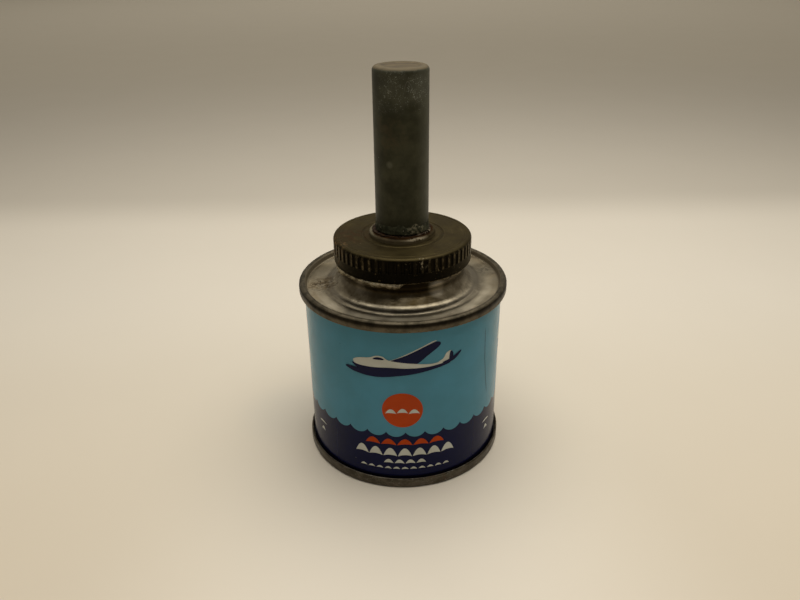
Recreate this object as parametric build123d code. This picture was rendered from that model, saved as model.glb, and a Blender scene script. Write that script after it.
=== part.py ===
"""Brush-top sealer can: a drawn-top tinplate can of about 4 fl oz with a fluted screw cap.

The cap carries a tall closed tube as its handle, staked through the cap like a tubular rivet, and a
round brush hangs from the tube's neck into the can. Units are millimetres. The origin is the centre of
the circle that the can stands on, +Z is up, and the can's printed front faces -Y.
"""
from build123d import *
from math import atan2, hypot, tan
import os

# ---- driving dimensions -------------------------------------------------------------------------
BODY_R = 29.45            # outside of the printed wall
CAN_H = 55.6              # over both double seams
BODY_T = 0.2              # body sheet
END_T = 0.2               # sheet of both ends
TOP_SEAM_R = 30.95        # outside of the rounded top seam, the can's nominal 2 7/16 in
TOP_SEAM_H = 3.0
BOTTOM_SEAM_R = 30.55
BOTTOM_SEAM_H = 3.2
SEAM_CLEAR = 0.04         # air between the folded sheets of a seam

PANEL_Z = 53.9            # upper face of the top panel
PANEL_EDGE_R = 28.7       # where the panel meets the seam's inner wall
STEP_R = 23.3             # soft step in the panel
STEP_W = 1.0
STEP_H = 0.4
NECK_FOOT_R = 20.6        # where the flare leaves the panel
NECK_R = 17.6             # outside of the neck
NECK_FLARE_Z = 57.6       # where the flare becomes the straight neck
NECK_SWELL = 0.5          # how far the ring under the thread stands out
NECK_SWELL_Z = 59.2
LIP_Z = 67.35             # top of the neck's curled lip

CAP_R = 20.1              # outside of the cap's skirt
CAP_TOP_Z = 69.0
CAP_BOTTOM_Z = 61.8
CAP_TOP_T = 0.45
CAP_WALL_T = 0.6
CAP_CORNER_R = 1.0
FLUTES = 60
FLUTE_R = 0.5             # radius of each pressed groove
FLUTE_DEPTH = 0.34
FLUTE_LOW_Z = 64.6
FLUTE_HIGH_Z = 68.3

THREAD_PITCH = 3.175      # eight turns to the inch
THREAD_LOW_Z = 62.65      # where both threads start
NECK_TURNS = 1.15
CAP_TURNS = 1.0
NECK_BEAD_R = 0.65        # radius of the rolled bead on the neck
NECK_BEAD_OUT = 1.1       # how far its crest stands out from the neck
CAP_BEAD_R = 0.6
THREAD_GAP = 0.15         # between the two beads' crests

HANDLE_R = 7.6
HANDLE_T = 0.6
HANDLE_TOP_Z = 115.8
HANDLE_FOOT_Z = 70.62     # underside of the shoulder that rests on the cup washer
STAKE_R = 6.2             # outside of the neck that passes through the cap
STAKE_CLEAR = 0.08
FLARE_R = 7.4             # the staked end under the lock washer

FERRULE_R = STAKE_R - HANDLE_T
FERRULE_T = 0.35
FERRULE_TOP_Z = 84.0
FERRULE_LOW_Z = 27.0
CRIMP_DEPTH = 0.45
BRISTLE_TIP_Z = 6.5
BRISTLE_BELLY_R = 6.6


# ---- helpers ------------------------------------------------------------------------------------
def offset_corner(before, corner, after, distance):
    """Where the corner goes when both lines are set `distance` to their left, and how far the path turns."""
    ax, az = corner[0] - before[0], corner[1] - before[1]
    bx, bz = after[0] - corner[0], after[1] - corner[1]
    length = hypot(ax, az)
    turn = atan2(ax * bz - az * bx, ax * bx + az * bz)
    shift = distance * tan(turn / 2)
    moved_r = corner[0] - (distance * az + shift * ax) / length
    moved_z = corner[1] + (distance * ax - shift * az) / length
    return (moved_r, moved_z), turn


def offset_end(start, end, point, distance):
    """The point set `distance` to the left of the line from start to end."""
    along_r, along_z = end[0] - start[0], end[1] - start[1]
    length = hypot(along_r, along_z)
    return point[0] - distance * along_z / length, point[1] + distance * along_r / length


def offset_line(path, radii, distance):
    """The path set `distance` to its left, with each fillet radius changed to stay parallel."""
    points = [offset_end(path[0], path[1], path[0], distance)]
    new_radii = []
    for before, corner, after, radius in zip(path, path[1:], path[2:], radii):
        moved, turn = offset_corner(before, corner, after, distance)
        points.append(moved)
        new_radii.append(radius - distance if turn > 0 else radius + distance)
    points.append(offset_end(path[-2], path[-1], path[-1], distance))
    return points, new_radii


def at(points):
    """(radius, height) pairs as points of the XZ plane."""
    return [Vector(r, 0, z) for r, z in points]


def sheet_ring(path, radii, thickness):
    """A round sheet-metal piece: the mid-line path, filleted, thickened and turned about Z."""
    one, one_radii = offset_line(path, radii, thickness / 2)
    two, two_radii = offset_line(path, radii, -thickness / 2)
    side_a = FilletPolyline(*at(one), radius=one_radii)
    side_b = FilletPolyline(*at(two), radius=two_radii)
    end_a = Line(Vector(one[0][0], 0, one[0][1]), Vector(two[0][0], 0, two[0][1]))
    end_b = Line(Vector(one[-1][0], 0, one[-1][1]), Vector(two[-1][0], 0, two[-1][1]))
    face = make_face([*side_a.edges(), end_b, *side_b.edges(), end_a])
    return revolve(face, Axis.Z, 360).solid()


def turned(points):
    """A solid of revolution about Z from a closed outline of (radius, height) points."""
    return revolve(make_face(Polyline(*at(points), close=True)), Axis.Z, 360).solid()


def ring(inner, outer, low, high):
    """A plain washer between two radii and two heights."""
    return turned([(inner, low), (outer, low), (outer, high), (inner, high)])


def thread_bead(centre_r, bead_r, start_z, turns):
    """One rolled thread: a round bead along a right-hand helix, with a ball at each end."""
    height = THREAD_PITCH * turns
    helix = Helix(pitch=THREAD_PITCH, height=height, radius=centre_r, center=(0, 0, start_z))
    start = Plane(origin=helix @ 0, z_dir=helix % 0)
    bead = sweep(start * Circle(bead_r), path=helix, is_frenet=True)
    for point in (helix @ 0, helix @ 1):
        bead += Pos(*point) * Sphere(bead_r)
    return bead


# ---- the can ------------------------------------------------------------------------------------
TOP_WALL_MID = BODY_R - BODY_T / 2
TOP_COVER_MID = TOP_SEAM_R - END_T / 2                # outermost sheet of the top seam
TOP_HOOK_MID = TOP_COVER_MID - 0.38                   # the body's hook inside it
TOP_END_HOOK_MID = (TOP_WALL_MID + TOP_HOOK_MID) / 2  # the end's own hook
TOP_CHUCK_MID = BODY_R - BODY_T - SEAM_CLEAR - END_T / 2
BOTTOM_COVER_MID = BOTTOM_SEAM_R - END_T / 2
BOTTOM_HOOK_MID = BOTTOM_COVER_MID - END_T / 2 - SEAM_CLEAR - BODY_T / 2
BOTTOM_END_HOOK_MID = BOTTOM_HOOK_MID - BODY_T / 2 - SEAM_CLEAR - END_T / 2
HOOK_BACK = 1.7                                       # how far a hook reaches down from its fold


def make_body_wall():
    """The printed wall, with a hook at each end that lies inside the double seam."""
    top_z = CAN_H - END_T - SEAM_CLEAR - BODY_T / 2 - 0.1
    low_z = END_T + SEAM_CLEAR + BODY_T / 2
    path = [
        (BOTTOM_HOOK_MID, low_z + HOOK_BACK),
        (BOTTOM_HOOK_MID, low_z),
        (TOP_WALL_MID, low_z),
        (TOP_WALL_MID, top_z),
        (TOP_HOOK_MID, top_z),
        (TOP_HOOK_MID, top_z - HOOK_BACK),
    ]
    wall = sheet_ring(path, [0.33, 0.38, 0.45, 0.6], BODY_T)
    wall += lock_seam_fold()
    return (wall - seam_groove()).solid()


SEAM_FOLD_W = 3.4         # width of the folded lock seam inside the wall
SEAM_FOLD_T = 0.5
SEAM_GROOVE_W = 0.9
SEAM_GROOVE_DEPTH = 0.12
SEAM_LOW_Z = BOTTOM_SEAM_H + 0.25
SEAM_HIGH_Z = CAN_H - TOP_SEAM_H - 0.25


def wall_strip(inner, outer, width, low, high):
    """A strip of a round wall at the back of the can, at +Y."""
    middle = (low + high) / 2
    block = Pos(0, BODY_R, middle) * Box(width, 10, high - low)
    return ring(inner, outer, low, high) & block


def lock_seam_fold():
    """The side seam's extra layers, folded flat against the inside of the wall."""
    inner = BODY_R - BODY_T - SEAM_FOLD_T
    return wall_strip(inner, BODY_R - BODY_T / 2, SEAM_FOLD_W, SEAM_LOW_Z + 0.6, SEAM_HIGH_Z - 0.6)


def seam_groove():
    """The shallow outside groove between the two folded edges of the sheet."""
    return wall_strip(BODY_R - SEAM_GROOVE_DEPTH, BODY_R + 1, SEAM_GROOVE_W, SEAM_LOW_Z, SEAM_HIGH_Z)


def make_side_seam_solder():
    """The solder that fills the side seam's groove and stands a little proud of it."""
    return wall_strip(BODY_R - SEAM_GROOVE_DEPTH + 0.01, BODY_R + 0.06, SEAM_GROOVE_W - 0.02,
                      SEAM_LOW_Z + 0.01, SEAM_HIGH_Z - 0.01).solid()


def make_top_end():
    """The drawn top in one piece: seam, panel with a step, flared neck, thread and curled lip."""
    crest = CAN_H - END_T / 2
    curl_low = CAN_H - TOP_SEAM_H + END_T / 2
    panel = PANEL_Z - END_T / 2
    neck_mid = NECK_R - END_T / 2
    lip_mid = LIP_Z - END_T / 2
    path = [
        (TOP_END_HOOK_MID, curl_low + 1.75),
        (TOP_END_HOOK_MID, curl_low),
        (TOP_COVER_MID, curl_low),
        (TOP_COVER_MID, crest),
        (TOP_CHUCK_MID + 0.1, crest),
        (PANEL_EDGE_R + END_T / 2, panel),
        (STEP_R, panel),
        (STEP_R - STEP_W, panel + STEP_H),
        (NECK_FOOT_R, panel + STEP_H),
        (neck_mid, NECK_FLARE_Z),
        (neck_mid + NECK_SWELL, NECK_SWELL_Z - 0.35),
        (neck_mid + NECK_SWELL, NECK_SWELL_Z + 0.35),
        (neck_mid, NECK_SWELL_Z + 1.5),
        (neck_mid, lip_mid),
        (neck_mid - 1.1, lip_mid),
        (neck_mid - 1.1, lip_mid - 1.1),
    ]
    radii = [0.35, 0.38, 1.05, 0.55, 0.45, 1.6, 1.6, 2.7, 1.9, 1.1, 1.1, 1.1, 0.5, 0.5]
    end = sheet_ring(path, radii, END_T)
    end += thread_bead(NECK_R + NECK_BEAD_OUT - NECK_BEAD_R, NECK_BEAD_R, THREAD_LOW_Z, NECK_TURNS)
    return end.solid()


def make_bottom_end():
    """The bottom: seam, countersink and a panel with one stiffening ring."""
    foot = END_T / 2
    curl_high = BOTTOM_SEAM_H - END_T / 2
    panel = 2.3
    path = [
        (BOTTOM_END_HOOK_MID, curl_high - 1.75),
        (BOTTOM_END_HOOK_MID, curl_high),
        (BOTTOM_COVER_MID, curl_high),
        (BOTTOM_COVER_MID, foot),
        (TOP_CHUCK_MID, foot),
        (TOP_CHUCK_MID - 0.1, panel),
        (25.5, panel),
        (24.7, panel - 0.6),
        (22.6, panel - 0.6),
        (21.8, panel),
        (0.5, panel),
    ]
    radii = [0.28, 0.3, 0.45, 0.45, 0.5, 0.4, 0.4, 0.4, 0.4]
    shell = sheet_ring(path, radii, END_T)
    return (shell + ring_disc(0.6, panel - END_T / 2, panel + END_T / 2)).solid()


def ring_disc(radius, low, high):
    """A plain disc that closes the middle of a turned panel."""
    return Pos(0, 0, (low + high) / 2) * Cylinder(radius, high - low)


def make_top_seam_compound():
    """Rubber sealing compound at the tip of the end's hook, inside the body's hook."""
    return ring(TOP_END_HOOK_MID - 0.22, TOP_END_HOOK_MID + 0.22, CAN_H - 1.08, CAN_H - 0.72)


def make_bottom_seam_compound():
    """The same compound in the bottom seam."""
    middle = (TOP_WALL_MID + BOTTOM_HOOK_MID) / 2
    return ring(middle - 0.2, middle + 0.2, 0.72, 1.1)


# ---- the screw cap ------------------------------------------------------------------------------
def flute_cutter():
    """One pressed groove of the cap's grip: an upright rod with round ends."""
    reach = FLUTE_HIGH_Z - FLUTE_LOW_Z - 2 * FLUTE_R
    rod = Pos(0, 0, (FLUTE_HIGH_Z + FLUTE_LOW_Z) / 2) * Cylinder(FLUTE_R, reach)
    for z in (FLUTE_LOW_Z + FLUTE_R, FLUTE_HIGH_Z - FLUTE_R):
        rod += Pos(0, 0, z) * Sphere(FLUTE_R)
    return Pos(CAP_R + FLUTE_R - FLUTE_DEPTH, 0, 0) * rod


def make_cap_shell():
    """The fluted cap: its thread inside, two shallow turned rings on its top, a rounded lower edge."""
    hole = STAKE_R + STAKE_CLEAR
    inner_r = CAP_R - CAP_WALL_T
    inner_z = CAP_TOP_Z - CAP_TOP_T
    outline = [
        (hole, inner_z),
        (inner_r, inner_z),
        (inner_r, CAP_BOTTOM_Z),
        (CAP_R, CAP_BOTTOM_Z),
        (CAP_R, CAP_TOP_Z),
        (hole, CAP_TOP_Z),
    ]
    shell = turned(outline)
    top_edge = shell.edges().filter_by(GeomType.CIRCLE).filter_by(
        lambda e: abs(e.radius - CAP_R) < 0.01 and e.center().Z > CAP_TOP_Z - 0.01)
    shell = fillet(top_edge, CAP_CORNER_R)
    low_edges = shell.edges().filter_by(GeomType.CIRCLE).filter_by(
        lambda e: e.center().Z < CAP_BOTTOM_Z + 0.01)
    shell = fillet(low_edges, 0.28)
    inner_corner = shell.edges().filter_by(GeomType.CIRCLE).filter_by(
        lambda e: abs(e.radius - inner_r) < 0.01 and e.center().Z > inner_z - 0.01)
    shell = fillet(inner_corner, 0.45)
    for radius, depth, half_width in ((11.6, 0.18, 0.5), (18.3, 0.09, 0.4)):
        groove_r = (half_width ** 2 + depth ** 2) / (2 * depth)
        shell -= Pos(0, 0, CAP_TOP_Z + groove_r - depth) * Torus(radius, groove_r)
    bead_centre = NECK_R + NECK_BEAD_OUT + THREAD_GAP + CAP_BEAD_R
    shell += Rot(0, 0, 180) * thread_bead(bead_centre, CAP_BEAD_R, THREAD_LOW_Z, CAP_TURNS)
    flutes = [Rot(0, 0, 360 / FLUTES * i) * flute_cutter() for i in range(FLUTES)]
    return (shell - flutes).solid()


LINER_INNER_R = 10.9
LINER_OUTER_R = 19.0
BOARD_T = 1.0
FACING_T = 0.1
LINER_TOP_Z = CAP_TOP_Z - CAP_TOP_T - 0.05


def make_liner_board():
    """The pulpboard sealing disc inside the cap, a ring around the staked handle."""
    return ring(LINER_INNER_R, LINER_OUTER_R, LINER_TOP_Z - BOARD_T, LINER_TOP_Z)


def make_liner_facing():
    """The foil face of the sealing disc, towards the neck's lip."""
    top = LINER_TOP_Z - BOARD_T
    return ring(LINER_INNER_R, LINER_OUTER_R, top - FACING_T, top)


# ---- the handle and its fastening ----------------------------------------------------------------
CUP_T = 0.3
CUP_FLAT_R = 7.8          # where the washer begins to slope
CUP_R = 9.5               # mid-line of the turned-down rim
CUP_SLOPE = 0.45          # how far it drops before the rim


def make_cup_washer():
    """The cup washer, mouth down on the cap, that the handle's shoulder rests on."""
    top = HANDLE_FOOT_Z - 0.02 - CUP_T / 2
    path = [
        (STAKE_R + STAKE_CLEAR, top),
        (CUP_FLAT_R, top),
        (CUP_R - 0.1, top - CUP_SLOPE),
        (CUP_R, CAP_TOP_Z + 0.04),
    ]
    return sheet_ring(path, [1.5, 0.45], CUP_T)


LOCK_WASHER_T = 0.5


def make_lock_washer():
    """The plain steel washer under the cap that the handle's end is flared over."""
    top = CAP_TOP_Z - CAP_TOP_T - 0.02
    return ring(STAKE_R + STAKE_CLEAR, 10.3, top - LOCK_WASHER_T, top)


def make_handle_tube():
    """The closed handle tube, necked down at its foot, passed through the cap and flared under it."""
    side = HANDLE_R - HANDLE_T / 2
    stake = STAKE_R - HANDLE_T / 2
    top = HANDLE_TOP_Z - HANDLE_T / 2
    foot = HANDLE_FOOT_Z + HANDLE_T / 2
    flare = CAP_TOP_Z - CAP_TOP_T - LOCK_WASHER_T - 0.06 - HANDLE_T / 2
    path = [
        (0.4, top - 0.25),
        (4.6, top - 0.25),
        (5.6, top),
        (side, top),
        (side, foot),
        (stake, foot),
        (stake, flare),
        (FLARE_R, flare),
    ]
    tube = sheet_ring(path, [1.5, 1.0, 0.95, 0.85, 0.4, 0.5], HANDLE_T)
    return (tube + ring_disc(0.5, top - 0.25 - HANDLE_T / 2, top - 0.25 + HANDLE_T / 2)).solid()


# ---- the brush ----------------------------------------------------------------------------------
CRIMP_Z = (30.0, 33.5)
CRIMP_HALF = 0.9


def make_brush_ferrule():
    """The tinned tube pressed up into the handle, with two rolled crimps around the bristles."""
    mid = FERRULE_R - FERRULE_T / 2
    path, radii = [(mid, FERRULE_LOW_Z)], []
    for z in CRIMP_Z:
        path += [(mid, z - CRIMP_HALF), (mid - CRIMP_DEPTH, z - 0.25)]
        path += [(mid - CRIMP_DEPTH, z + 0.25), (mid, z + CRIMP_HALF)]
        radii += [0.35, 0.3, 0.3, 0.35]
    path.append((mid, FERRULE_TOP_Z))
    return sheet_ring(path, radii, FERRULE_T)


BRISTLE_BUTT_Z = 38.0
SET_TOP_Z = 41.0
PLUG_TOP_Z = 50.0
GRIPPED_R = FERRULE_R - FERRULE_T - CRIMP_DEPTH - 0.1


def make_bristles():
    """The bristle bundle: gripped inside the ferrule, full below its mouth and rounded at the tip."""
    mouth = FERRULE_LOW_Z - 0.2
    outline = [(0, BRISTLE_BUTT_Z), (GRIPPED_R, BRISTLE_BUTT_Z), (GRIPPED_R, mouth)]
    belly = Spline(
        Vector(GRIPPED_R, 0, mouth),
        Vector(BRISTLE_BELLY_R, 0, mouth - 9),
        Vector(BRISTLE_BELLY_R - 0.4, 0, mouth - 15),
        Vector(BRISTLE_BELLY_R - 2.0, 0, BRISTLE_TIP_Z + 1.2),
        Vector(0, 0, BRISTLE_TIP_Z),
        tangents=[Vector(0.55, 0, -1), Vector(-1, 0, 0)],
    )
    upper = Polyline(*at(outline))
    axis = Line(Vector(0, 0, BRISTLE_TIP_Z), Vector(0, 0, BRISTLE_BUTT_Z))
    return revolve(make_face([*upper.edges(), belly, axis]), Axis.Z, 360).solid()


def make_bristle_set():
    """The hard rubber that the bristles' butt ends are cast in."""
    return ring_disc(FERRULE_R - FERRULE_T - 0.05, BRISTLE_BUTT_Z, SET_TOP_Z).solid()


def make_ferrule_plug():
    """The wooden plug driven in above the bristles."""
    plug = ring_disc(FERRULE_R - FERRULE_T - 0.05, SET_TOP_Z, PLUG_TOP_Z)
    return chamfer(plug.edges().filter_by(GeomType.CIRCLE), 0.4).solid()


PARTS = {
    "body_wall": make_body_wall,
    "side_seam_solder": make_side_seam_solder,
    "top_end": make_top_end,
    "top_seam_compound": make_top_seam_compound,
    "bottom_end": make_bottom_end,
    "bottom_seam_compound": make_bottom_seam_compound,
    "cap_shell": make_cap_shell,
    "liner_board": make_liner_board,
    "liner_facing": make_liner_facing,
    "cup_washer": make_cup_washer,
    "lock_washer": make_lock_washer,
    "handle_tube": make_handle_tube,
    "brush_ferrule": make_brush_ferrule,
    "bristle_set": make_bristle_set,
    "ferrule_plug": make_ferrule_plug,
    "bristles": make_bristles,
}

os.makedirs("parts", exist_ok=True)
for name, make in PARTS.items():
    export_step(make(), f"parts/{name}.step")
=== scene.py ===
import bmesh
import bpy
import math
import random
from mathutils import Matrix, Vector, noise


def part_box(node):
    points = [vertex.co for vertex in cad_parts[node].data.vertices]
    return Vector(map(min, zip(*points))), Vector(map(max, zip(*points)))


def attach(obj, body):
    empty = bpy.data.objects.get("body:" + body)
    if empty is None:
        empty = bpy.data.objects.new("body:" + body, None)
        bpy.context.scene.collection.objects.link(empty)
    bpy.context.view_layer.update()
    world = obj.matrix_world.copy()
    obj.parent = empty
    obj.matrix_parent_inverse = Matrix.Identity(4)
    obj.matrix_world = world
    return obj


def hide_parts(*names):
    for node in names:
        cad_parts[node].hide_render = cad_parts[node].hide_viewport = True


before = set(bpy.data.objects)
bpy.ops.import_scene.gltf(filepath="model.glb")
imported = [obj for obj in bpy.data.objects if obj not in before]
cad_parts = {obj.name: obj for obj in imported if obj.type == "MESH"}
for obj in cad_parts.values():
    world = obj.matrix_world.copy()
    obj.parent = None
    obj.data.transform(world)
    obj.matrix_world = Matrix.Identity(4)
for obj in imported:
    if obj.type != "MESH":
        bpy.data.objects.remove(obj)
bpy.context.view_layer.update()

# Lengths in this script are millimetres in the part's own frame, until MM turns them into metres.
MM = 0.001


# ---- what the frame says --------------------------------------------------------------------------
def low(node):
    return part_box(node)[0] / MM


def high(node):
    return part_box(node)[1] / MM


def reach(node, bottom, top):
    """The furthest a node's corners stand from the axis between two heights."""
    corners = [v.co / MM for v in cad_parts[node].data.vertices]
    return max(math.hypot(c.x, c.y) for c in corners if bottom < c.z < top)


def level(node, inner, outer):
    """The highest of a node's corners between two radii."""
    corners = [v.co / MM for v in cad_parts[node].data.vertices]
    return max(c.z for c in corners if inner < math.hypot(c.x, c.y) < outer)


def at(angle, radius, height):
    """The place at that angle from the front, in degrees to the right, and that radius and height."""
    turn = math.radians(angle)
    return radius * math.sin(turn), -radius * math.cos(turn), height


BOTTOM_SEAM_TOP = high("bottom_end").z
BODY_R = reach("body_wall", BOTTOM_SEAM_TOP, low("top_end").z)
SEAM_CREST = level("top_end", BODY_R, BODY_R + 2)
LIP_Z = high("top_end").z
NECK_R = reach("top_end", LIP_Z - 0.7, LIP_Z)
CAP_R = high("cap_shell").x
PANEL_Z = level("top_end", CAP_R + 2.9, BODY_R - 1.5)
CAP_LOW = low("cap_shell").z
CAP_TOP = high("cap_shell").z
TUBE_TOP = high("handle_tube").z
CUP_R = high("cup_washer").x
CUP_TOP = high("cup_washer").z
FERRULE_R = high("brush_ferrule").x
FERRULE_MOUTH = low("brush_ferrule").z
HAIR_TIP = low("bristles").z
HAIR_R = high("bristles").x
TUBE_R = high("handle_tube").x
NECK_FOOT_R = 20.6        # where the neck's flare meets the panel
PANEL_STEP_R = 23.3       # the soft step in the panel round it
PRINT_LIFT = 0.03         # one layer of ink above the wall, clear of the wall's facets


# ---- materials ------------------------------------------------------------------------------------
class Paint:
    """A material made of nodes. Its places, radii and heights are in millimetres in the part's frame."""

    def __init__(self, name):
        self.material = bpy.data.materials.new(name)
        self.material.use_nodes = True
        self.tree = self.material.node_tree
        self.tree.nodes.clear()
        scale = self.add("ShaderNodeVectorMath", operation="SCALE")
        self.put(scale.inputs[0], self.add("ShaderNodeTexCoord").outputs["Object"])
        self.put(scale.inputs["Scale"], 1 / MM)
        self.place = scale.outputs[0]
        split = self.add("ShaderNodeSeparateXYZ")
        self.put(split.inputs[0], self.place)
        self.x, self.y, self.height = split.outputs
        self.radius = self.math("SQRT", self.math("ADD", self.square(self.x), self.square(self.y)))
        self.angle = self.math("DEGREES", self.math("ARCTAN2", self.x, self.math("MULTIPLY", self.y, -1)))

    def add(self, kind, **settings):
        node = self.tree.nodes.new(kind)
        for name, value in settings.items():
            setattr(node, name, value)
        return node

    def put(self, socket, value):
        if isinstance(value, bpy.types.NodeSocket):
            self.tree.links.new(value, socket)
        elif hasattr(value, "__len__") and len(value) == 3 and len(socket.default_value) == 4:
            socket.default_value = (*value, 1)
        else:
            socket.default_value = value

    def math(self, operation, *values):
        node = self.add("ShaderNodeMath", operation=operation)
        for socket, value in zip(node.inputs, values):
            self.put(socket, value)
        return node.outputs[0]

    def square(self, value):
        return self.math("MULTIPLY", value, value)

    def times(self, *values):
        total = values[0]
        for value in values[1:]:
            total = self.math("MULTIPLY", total, value)
        return total

    def most(self, *values):
        total = values[0]
        for value in values[1:]:
            total = self.math("MAXIMUM", total, value)
        return total

    def plus(self, *values):
        total = values[0]
        for value in values[1:]:
            total = self.math("ADD", total, value)
        return total

    def without(self, value):
        """1 where the value is 0, and 0 where it is 1."""
        return self.math("SUBTRACT", 1.0, value)

    def step(self, value, start, end):
        """0 before start, 1 after end, smooth between; it falls instead where end is below start."""
        node = self.add("ShaderNodeMapRange", interpolation_type="SMOOTHSTEP")
        for name, number in (("Value", value), ("From Min", start), ("From Max", end)):
            self.put(node.inputs[name], number)
        return node.outputs["Result"]

    def band(self, value, start, full, fading, end):
        """0 before start, 1 from full to fading, 0 again after end."""
        return self.times(self.step(value, start, full), self.step(value, end, fading))

    def blend(self, value, one, two):
        """A number between one and two as value goes from 0 to 1."""
        node = self.add("ShaderNodeMapRange")
        for name, number in (("Value", value), ("To Min", one), ("To Max", two)):
            self.put(node.inputs[name], number)
        return node.outputs["Result"]

    def mix(self, amount, one, two, how="MIX"):
        node = self.add("ShaderNodeMix", data_type="RGBA", blend_type=how)
        for index, value in ((0, amount), (6, one), (7, two)):
            self.put(node.inputs[index], value)
        return node.outputs[2]

    def stretched(self, across, around, up):
        """The place with each axis drawn out, so that a pattern on it runs along the longer ones."""
        node = self.add("ShaderNodeVectorMath", operation="DIVIDE")
        self.put(node.inputs[0], self.place)
        node.inputs[1].default_value = (across, around, up)
        return node.outputs[0]

    def ring_place(self, size):
        """Places that change mostly with the distance from the axis, for turned marks."""
        node = self.add("ShaderNodeCombineXYZ")
        self.put(node.inputs[0], self.math("DIVIDE", self.radius, size))
        self.put(node.inputs[1], self.math("DIVIDE", self.angle, 40))
        return node.outputs[0]

    def noise(self, size, detail=4.0, rough=0.55, place=None, warp=0.0):
        node = self.add("ShaderNodeTexNoise")
        self.put(node.inputs["Vector"], place or self.place)
        node.inputs["Scale"].default_value = 1 / size
        node.inputs["Detail"].default_value = detail
        node.inputs["Roughness"].default_value = rough
        node.inputs["Distortion"].default_value = warp
        return node.outputs["Fac"]

    def patches(self, size, start, end, detail=4.0, rough=0.55, place=None):
        """Soft patches of about that size: 0 where the noise is under start, 1 where it is over end."""
        return self.step(self.noise(size, detail, rough, place), start, end)

    def specks(self, spacing, size, share):
        """Small round spots: in a share of the cells of that spacing, a spot of up to that radius."""
        node = self.add("ShaderNodeTexVoronoi")
        self.put(node.inputs["Vector"], self.place)
        node.inputs["Scale"].default_value = 1 / spacing
        split = self.add("ShaderNodeSeparateColor")
        self.put(split.inputs[0], node.outputs["Color"])
        spot_r = self.math("MULTIPLY", split.outputs[1], size / spacing)
        spot = self.math("LESS_THAN", node.outputs["Distance"], spot_r)
        return self.times(spot, self.math("LESS_THAN", split.outputs[0], share))

    def near(self, point, distance):
        """1 at the point, falling to 0 at that distance from it."""
        node = self.add("ShaderNodeVectorMath", operation="DISTANCE")
        self.put(node.inputs[0], self.place)
        node.inputs[1].default_value = point
        return self.step(node.outputs["Value"], distance, distance * 0.25)

    def lines(self, size, width, detail=2.0, place=None, warp=0.0):
        """Thin wandering lines, where a noise crosses its middle value."""
        away = self.math("ABSOLUTE", self.math("SUBTRACT", self.noise(size, detail, 0.5, place, warp), 0.5))
        return self.step(away, width, 0.0)

    def bump(self, height, depth, under=None):
        node = self.add("ShaderNodeBump")
        node.inputs["Strength"].default_value = 1.0
        node.inputs["Distance"].default_value = depth * MM
        self.put(node.inputs["Height"], height)
        if under:
            self.put(node.inputs["Normal"], under)
        return node.outputs[0]

    def finish(self, colour, roughness, metallic=0.0, normal=None, **fixed):
        shader = self.add("ShaderNodeBsdfPrincipled")
        self.put(shader.inputs["Base Color"], colour)
        self.put(shader.inputs["Roughness"], roughness)
        self.put(shader.inputs["Metallic"], metallic)
        if normal:
            self.put(shader.inputs["Normal"], normal)
        for name, value in fixed.items():
            shader.inputs[name.replace("_", " ")].default_value = value
        output = self.add("ShaderNodeOutputMaterial")
        self.put(output.inputs["Surface"], shader.outputs[0])
        return self.material


SKY = (0.080, 0.268, 0.382)
NAVY = (0.0012, 0.0036, 0.0380)
ORANGE = (0.47, 0.053, 0.0005)
CREAM = (0.58, 0.60, 0.55)
SCALLOP_ANGLE = 360 / 33  # degrees from one crest of the sea to the next
SCALLOP_MIDDLE = 5.9      # degrees from the front to the middle of one hollow
FLUTES = 60               # pressed grooves round the cap
CAP_GROOVE_R = 11.6       # a shallow turned groove on its top
CREST_Z = 19.5
CREST_H = 1.6


def ink(p, colour):
    """Litho ink under gloss varnish: slightly uneven, with dust and small pits."""
    cloud = p.patches(11, 0.3, 0.7, 5)
    colour = p.mix(p.times(cloud, 0.6), colour, (0.84, 0.82, 0.76), "MULTIPLY")
    dust_and_highlight = p.specks(4.5, 0.28, 0.35)
    colour = p.mix(p.times(dust_and_highlight, 0.75), colour, (0.02, 0.018, 0.015))
    nicks = p.specks(5.0, 0.13, 0.22)
    return p.mix(p.times(nicks, 0.6), colour, (0.24, 0.25, 0.23))


def varnish(p, colour, metallic=0.0):
    """The gloss over the print, on tin that is not quite flat."""
    rough = p.blend(p.patches(6, 0.3, 0.7, 5), 0.14, 0.26)
    waves = p.bump(p.noise(22, 1), 0.25)
    grain = p.bump(p.noise(0.35, 2), 0.004, waves)
    return p.finish(colour, rough, metallic, grain, Specular_IOR_Level=0.115)


def wall_print():
    """The printed wall: a blue sky over a scalloped navy sea outside, bare tinplate inside."""
    p = Paint("printed_lacquer")
    turns = p.math("DIVIDE", p.math("SUBTRACT", p.angle, SCALLOP_MIDDLE), SCALLOP_ANGLE)
    part = p.math("SUBTRACT", p.math("FRACT", p.math("ADD", turns, 100.5)), 0.5)
    chord = math.radians(SCALLOP_ANGLE) * BODY_R
    arc_r = (chord ** 2 / 4 + CREST_H ** 2) / (2 * CREST_H)
    across = p.math("MULTIPLY", part, chord)
    drop = p.math("SQRT", p.math("SUBTRACT", arc_r ** 2, p.square(across)))
    edge = p.math("SUBTRACT", CREST_Z + arc_r - CREST_H, drop)
    sea = p.step(p.math("SUBTRACT", edge, p.height), -0.04, 0.04)
    colour = ink(p, p.mix(sea, SKY, NAVY))
    # painted shade and dirt: the wall goes near black just above the bottom seam
    seam_shade_and_dirt = p.step(p.height, BOTTOM_SEAM_TOP + 1.0, BOTTOM_SEAM_TOP)
    colour = p.mix(p.times(seam_shade_and_dirt, 0.8), colour, (0.006, 0.005, 0.004))
    inside = p.step(p.radius, BODY_R - 0.05, BODY_R - 0.1)
    colour = p.mix(inside, colour, (0.42, 0.38, 0.30))
    return varnish(p, colour, inside)


def print_ink(name, colour):
    p = Paint(name)
    return varnish(p, ink(p, colour))


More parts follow.
